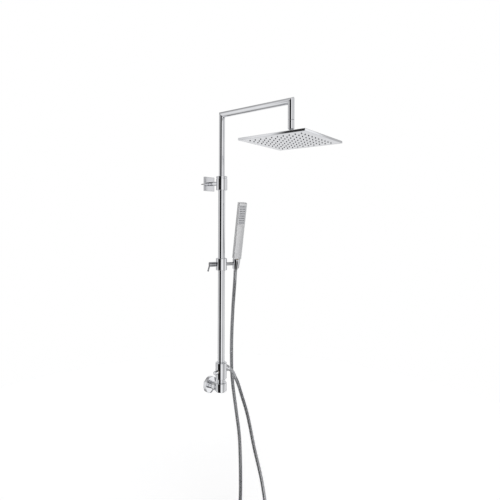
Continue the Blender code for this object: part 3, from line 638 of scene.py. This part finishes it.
HALF = 0.125
PITCH = 0.0215
NOZZLES = 10
shape = bmesh.new()
rounded_box_shape(shape, (-HALF, -HALF, 0.895), (HALF, HALF, 0.903), 1.1 * MM, 4)
cover = add_piece("head_cover_shown", finish_mesh("head_cover_shown", shape), CHROME, HEAD, "rain_head",
                  "head_cover")
shape = bmesh.new()
INNER = HALF - 0.002
PLATE_GAP = 0.0003
cuboid(shape, (0, 0, 0.897), (2 * INNER, 2 * INNER, 0.008))
carve(cover, [tool_from(shape, HEAD)])
turned("head_boss", "rain_head", "", CHROME,
       [(8, 911), (11.3, 911), (11.7, 910.5), (11.7, 902.6), (8, 902.6)], HEAD)
turned("strainer_shown", "rain_head", "flow_strainer", SATIN,
       [(2, 906), (7.6, 906), (7.6, 904), (2, 904)], HEAD)


HOLE_CHAMFER = 0.25
HOLE_SIDES = 16
TIP_ROUND = 0.0003


def perforated_plate(name, columns, rows, pitch, margins, hole, thick, place, body, stands_for):
    """A flat plate with countersunk round holes, facing local -Z at z = 0 and thick upwards."""
    shape = bmesh.new()
    px, py = pitch
    half_x, half_y = px * columns / 2, py * rows / 2
    mx, my = margins
    rim = (hole + HOLE_CHAMFER) * MM
    bore = hole * MM
    angles = [math.tau * k / HOLE_SIDES for k in range(HOLE_SIDES)]
    for i in range(columns):
        for j in range(rows):
            cx, cy = (i + 0.5) * px - half_x, (j + 0.5) * py - half_y
            outer, loops = [], []
            for angle in angles:
                c, s = math.cos(angle), math.sin(angle)
                reach = 0.5 / max(abs(c), abs(s))
                outer.append(shape.verts.new((cx + c * reach * px, cy + s * reach * py, 0)))
            for radius, z in ((rim, 0.0), (bore, HOLE_CHAMFER * MM), (bore, thick)):
                loops.append([shape.verts.new((cx + math.cos(a) * radius, cy + math.sin(a) * radius, z))
                              for a in angles])
            back = [shape.verts.new((v.co.x, v.co.y, thick)) for v in outer]
            for a, b in zip([outer] + loops, loops + [back]):
                for k in range(HOLE_SIDES):
                    n = (k + 1) % HOLE_SIDES
                    shape.faces.new((a[k], a[n], b[n], b[k]))
    bmesh.ops.remove_doubles(shape, verts=shape.verts, dist=1e-6)
    edges = [e for e in shape.edges if len(e.link_faces) == 1]
    for level in (0.0, thick):
        ring = [e for e in edges if all(abs(v.co.z - level) < 1e-7 for v in e.verts)]
        grown = bmesh.ops.extrude_edge_only(shape, edges=ring)["geom"]
        for v in (g for g in grown if isinstance(g, bmesh.types.BMVert)):
            v.co.x = math.copysign(mx, v.co.x) if abs(abs(v.co.x) - half_x) < 1e-6 else v.co.x
            v.co.y = math.copysign(my, v.co.y) if abs(abs(v.co.y) - half_y) < 1e-6 else v.co.y
    edges = [e for e in shape.edges if len(e.link_faces) == 1]
    bmesh.ops.bridge_loops(shape, edges=edges)
    add_piece(name, finish_mesh(name, shape), FACE, place, body, stands_for)


def nipple_sheet(name, columns, rows, pitch, sheet, radii, reach, place, body, stands_for, sides=14):
    """A flexible sheet with hollow nipples that stand out to local -Z by reach below z = 0."""
    shape = bmesh.new()
    px, py = pitch
    root, tip, hole = radii
    half_x, half_y, low, high = sheet
    rounded_box_shape(shape, (-half_x, -half_y, low), (half_x, half_y, high), 0.0004, 2)
    profile = [(0, low + 0.0004), (root, low + 0.0004), (root, low),
               ((root + tip) / 2 + 0.0001, -reach * 0.35),
               (tip, -reach + TIP_ROUND), (tip - TIP_ROUND, -reach), (hole, -reach),
               (hole * 0.8, -reach + 0.0008), (0, -reach + 0.0008)]
    points = [Vector(p) for p in profile]
    for i in range(columns):
        for j in range(rows):
            at = Matrix.Translation(((i + 0.5 - columns / 2) * px, (j + 0.5 - rows / 2) * py, 0))
            lathe_shape(shape, points, sides, False, place=at)
    bmesh.ops.recalc_face_normals(shape, faces=shape.faces)
    mesh = bpy.data.meshes.new(name)
    shape.to_mesh(mesh)
    shape.free()
    add_piece(name, mesh, SILICONE, place, body, stands_for)


FACE_PLACE = HEAD @ Matrix.Translation((0, 0, 0.8952))
perforated_plate("spray_face_shown", NOZZLES, NOZZLES, (PITCH, PITCH),
                 (INNER - PLATE_GAP, INNER - PLATE_GAP), 2.6, 0.0016, FACE_PLACE, "rain_head", "spray_face")
nipple_sheet("nozzle_mat_shown", NOZZLES, NOZZLES, (PITCH, PITCH), (0.1197, 0.1197, 0.0019, 0.0031),
             (0.0023, 0.0015, 0.0006), 0.0020, FACE_PLACE, "rain_head", "nozzle_mat")

# ---------------------------------------------------------------- slider, lever and holder
turned("slider_bush_shown", "slider_carriage", "slider_bush", PLASTIC,
       [(13.36, 20.5), (15.4, 20.5), (15.4, -20.5), (13.36, -20.5)], SLIDER)
slider = turned("slider_block_shown", "slider", "slider_block", CHROME,
                [(15.8, 22.5), (20, 22.5, 0.9), (21, 21.5, 0.9), (21, -21.5, 0.9), (20, -22.5, 0.9),
                 (15.8, -22.5)], SLIDER, ease=0.3, steps=128)
carve(slider, [drill(6.8, 10, 30, SLIDER @ TO_RIGHT), drill(4.5, 10, 30, SLIDER @ TO_LEFT, 32)])
LEVER = SLIDER @ TO_LEFT
lever = turned("lever_knob_shown", "clamp_lever", "lever_knob", LEVER_SHADED_CHROME,
               [(0, 47.4), (6, 47.4), (6.6, 48, 0.4), (8, 48, 0.9), (9, 47, 0.9), (9, 28.4), (8.5, 28),
                (8.5, 27.2), (9, 26.8), (9, 23.3, 0.6), (8, 22.3, 0.5), (4.2, 22.3), (4.2, 16.7),
                (0, 16.7)], LEVER, steps=96)
HANDLE_LEAN = math.pi + math.radians(15)
HANDLE = SLIDER @ Matrix.Translation((-0.044, 0, 0.004)) @ Matrix.Rotation(HANDLE_LEAN, 4, "Y")
carve(lever, [drill(3.4, -2, 30, HANDLE, 32)])
turned("lever_handle_shown", "clamp_lever", "lever_handle", LEVER_SHADED_CHROME,
       [(0, 31), (2.2, 31, 0.9), (3.1, 30, 0.9), (3.1, 27), (2.9, 26), (2.9, 2), (3.1, -1.5), (0, -1.5)],
       HANDLE, steps=48)
SLOT_HALF = math.asin(7.5 / 12.6)
SLOT_SIDE = math.radians(-45)
turned("holder_cup_shown", "holder", "holder_cup", CHROME,
       [(11.7, 18), (14.4, 18, 0.7), (15, 17.2, 0.7), (12.4, -19.4, 0.7), (11.9, -20, 0.5), (8.7, -20)],
       HOLDER, steps=96, span=math.tau - 2 * SLOT_HALF, start=SLOT_SIDE + SLOT_HALF)
turned("holder_arm", "holder", "", SHADED_CHROME, [(0, 11.6), (6.5, 11.6), (6.5, 41), (0, 41)],
       HOLDER @ TO_LEFT, steps=64)

# ---------------------------------------------------------------- hand shower
WIDTH, DEPTH, FOOT, TOP = 0.032, 0.020, 0.022, 0.242


def rounded_section(half_x, half_y, radius, arcs=5):
    points = []
    for cx, cy, start in ((1, 1, 0), (-1, 1, 90), (-1, -1, 180), (1, -1, 270)):
        for k in range(arcs + 1):
            angle = math.radians(start + 90 * k / arcs)
            points.append((cx * (half_x - radius) + radius * math.cos(angle),
                           cy * (half_y - radius) + radius * math.sin(angle)))
    return points


shape = bmesh.new()
levels = [(FOOT, 1.1), (FOOT + 0.0003, 0.55), (FOOT + 0.0011, 0.0)]
levels += [(FOOT + (TOP - FOOT) * k / 12, 0.0) for k in range(1, 12)]
levels += [(TOP - 0.0016, 0.0), (TOP - 0.0008, 0.22), (TOP - 0.0002, 0.75), (TOP, 1.5)]
loops = []
for z, inset in levels:
    section = rounded_section(WIDTH / 2 - inset * MM, DEPTH / 2 - inset * MM, (3.4 - inset) * MM)
    loops.append([shape.verts.new((x, y, z)) for x, y in section])
for a, b in zip(loops, loops[1:]):
    for k in range(len(a)):
        n = (k + 1) % len(a)
        shape.faces.new((a[k], a[n], b[n], b[k]))
shape.faces.new(loops[0])
shape.faces.new(loops[-1])
handset = add_piece("handset_body_shown", finish_mesh("handset_body_shown", shape), LIT_CHROME, HOLDER,
                    "hand_shower", "handset_body")
POCKET_LOW, POCKET_HIGH = TOP - 0.080, TOP - 0.008
shape = bmesh.new()
middle = (POCKET_LOW + POCKET_HIGH) / 2
cuboid(shape, (0, -0.008, middle), (0.024, 0.014, POCKET_HIGH - POCKET_LOW))
carve(handset, [tool_from(shape, HOLDER), drill(6, FOOT * 1000 - 5, 180, HOLDER)])
FACE_TURN = Matrix.Rotation(-math.pi / 2, 4, "X")
HAND_FACE = HOLDER @ Matrix.Translation((0, -DEPTH / 2 + PLATE_GAP, middle)) @ FACE_TURN
HAND_PITCH = (0.005, 0.0088)
HAND_GRID = (4, 8)
perforated_plate("handset_face_shown", *HAND_GRID, HAND_PITCH,
                 (0.0117, (POCKET_HIGH - POCKET_LOW) / 2 - PLATE_GAP), 1.5, 0.0017, HAND_FACE,
                 "hand_shower", "handset_face")
nipple_sheet("handset_mat_shown", *HAND_GRID, HAND_PITCH, (0.0107, 0.0347, 0.0020, 0.0032),
             (0.0014, 0.0012, 0.0004), 0.0006, HAND_FACE, "hand_shower", "handset_mat", sides=12)
turned("handset_inlet_shown", "hand_shower", "handset_inlet", BRASS,
       [(3.5, 33), (5.7, 33), (5.7, 21.7), (9, 21.7)] + [(9 - 0.5 * (k % 2), 21 - 0.6 * k) for k in range(19)]
       + [(9, 9.4), (9, 9), (3.5, 9)], HOLDER, ease=0.15)
turned("handset_washer_shown", "hand_shower", "handset_washer", RUBBER,
       [(5.2, 8.7), (9, 8.7), (9, 7.2), (5.2, 7.2)], HOLDER)
turned("upper_nut_shown", "hand_shower", "hose_nut_upper", CHROME,
       [(9.3, 21), (11, 21, 0.4), (11.5, 20.4, 0.4), (8.2, -24.6), (7.8, -26, 0.6), (4.5, -26),
        (4.5, 6.9), (9.3, 6.9)], HOLDER, ease=0.3, steps=96)

# ---------------------------------------------------------------- floor and light
FLOOR_Z = -0.66
FLOOR_RADIUS = 2.3
FLOOR_LIFT = 0.49  # brings the floor up to the white around it, as the camera sees it
shape = bmesh.new()
bmesh.ops.create_circle(shape, cap_ends=True, segments=96, radius=FLOOR_RADIUS)
floor = bpy.data.objects.new("floor", finish_mesh("floor", shape))
floor.location = (0, 0, FLOOR_Z)
scene.collection.objects.link(floor)
PALE = material("pale_floor", (0.86, 0.86, 0.86), (0.9, 0.9, 0.9), 0.0, (0.6, 0.75), 0.7)
lift = node(PALE.node_tree, "ShaderNodeMath", {1: FLOOR_LIFT}, operation="MULTIPLY")
rays = node(PALE.node_tree, "ShaderNodeLightPath")
PALE.node_tree.links.new(rays.outputs["Is Camera Ray"], lift.inputs[0])
pale_shader = PALE.node_tree.nodes["Principled BSDF"]
pale_shader.inputs["Emission Color"].default_value = (1, 1, 1, 1)
PALE.node_tree.links.new(lift.outputs["Value"], pale_shader.inputs["Emission Strength"])
floor.data.materials.append(PALE)
floor.visible_glossy = False  # the metal mirrors the studio, not the floor

world = bpy.data.worlds.new("studio")
world.use_nodes = True
scene.world = world
tree = world.node_tree
background = tree.nodes["Background"]
direction = node(tree, "ShaderNodeTexCoord")
split = node(tree, "ShaderNodeSeparateXYZ")
tree.links.new(direction.outputs["Generated"], split.inputs["Vector"])
turn = node(tree, "ShaderNodeMath", operation="ARCTAN2")
tree.links.new(split.outputs["Y"], turn.inputs[0])
tree.links.new(split.outputs["X"], turn.inputs[1])
share = ranged(tree, -math.pi, math.pi, 0.0, 1.0)
tree.links.new(turn.outputs["Value"], share.inputs["Value"])
CAMERA_SIDE = (217.7 - 180) / 360  # share of the turn that faces the camera
walls = node(tree, "ShaderNodeValToRGB")
walls.color_ramp.interpolation = "EASE"
# Degrees to the camera's left of the line back to the camera, and how bright the room is there
ROOM = [(180, 0.82), (163, 0.8), (150, 0.38), (124, 0.4), (108, 0.56), (90, 0.68), (73, 0.84), (64, 0.03),
        (15, 0.006), (5, 0.2), (-3, 0.94), (-24, 0.94), (-38, 0.66), (-54, 0.42), (-70, 0.5), (-84, 0.56),
        (-96, 0.96), (-107, 0.96), (-117, 0.5), (-150, 0.56), (-165, 0.8)]
stops = sorted(((CAMERA_SIDE - degrees / 360) % 1.0, bright) for degrees, bright in ROOM)
while len(walls.color_ramp.elements) < len(stops):
    walls.color_ramp.elements.new(0.5)
for element, (position, bright) in zip(walls.color_ramp.elements, stops):
    element.position = position
    element.color = (bright, bright, bright * 1.01, 1)
tree.links.new(share.outputs["Result"], walls.inputs["Fac"])
heights = ranged(tree, -1.0, 1.0, 0.0, 1.0)
tree.links.new(split.outputs["Z"], heights.inputs["Value"])
belts = node(tree, "ShaderNodeValToRGB")
# Sine of the height above the horizon, and what is left of the walls' light there
BELTS = [(-1.0, 0.9), (-0.87, 0.8), (-0.82, 0.04), (-0.69, 0.04), (-0.64, 1.0), (0.44, 1.0),
         (0.5, 0.04), (0.78, 0.04), (0.84, 0.85), (1.0, 0.9)]
while len(belts.color_ramp.elements) < len(BELTS):
    belts.color_ramp.elements.new(0.5)
for element, (sine, left) in zip(belts.color_ramp.elements, BELTS):
    element.position = (sine + 1) / 2
    element.color = (left, left, left, 1)
tree.links.new(heights.outputs["Result"], belts.inputs["Fac"])
# The belts are full towards this level direction and weak on the other side of the room
BELT_SIDE = (0.6115, -0.791, 0)
across = node(tree, "ShaderNodeVectorMath", {1: BELT_SIDE}, operation="DOT_PRODUCT")
depth = ranged(tree, -0.1, 0.25, 0.3, 1.0)
tree.links.new(direction.outputs["Generated"], across.inputs[0])
tree.links.new(across.outputs["Value"], depth.inputs["Value"])
MIX_FACTOR, COLOUR_A, COLOUR_B, MIXED_COLOUR = 0, 6, 7, 2  # sockets of a colour Mix node
with_belts = node(tree, "ShaderNodeMix", data_type="RGBA", blend_type="MULTIPLY")
tree.links.new(depth.outputs["Result"], with_belts.inputs[MIX_FACTOR])
tree.links.new(walls.outputs["Color"], with_belts.inputs[COLOUR_A])
tree.links.new(belts.outputs["Color"], with_belts.inputs[COLOUR_B])
# The camera sees a white backdrop; only reflections and light come from the room
rays = node(tree, "ShaderNodeLightPath")
seen = node(tree, "ShaderNodeMix", data_type="RGBA")
seen.inputs[COLOUR_B].default_value = (1, 1, 1, 1)
tree.links.new(rays.outputs["Is Camera Ray"], seen.inputs[MIX_FACTOR])
tree.links.new(with_belts.outputs[MIXED_COLOUR], seen.inputs[COLOUR_A])
tree.links.new(seen.outputs[MIXED_COLOUR], background.inputs["Color"])
background.inputs["Strength"].default_value = 1.0

SUN_STRENGTH = 0.9
SUN_WIDTH = math.radians(35)
SUN_TILT = (math.radians(28), math.radians(-18), 0)
sun_data = bpy.data.lights.new("soft_sun", "SUN")
sun_data.energy = SUN_STRENGTH
sun_data.angle = SUN_WIDTH
sun = bpy.data.objects.new("soft_sun", sun_data)
sun.rotation_euler = SUN_TILT
sun.visible_glossy = False
scene.collection.objects.link(sun)
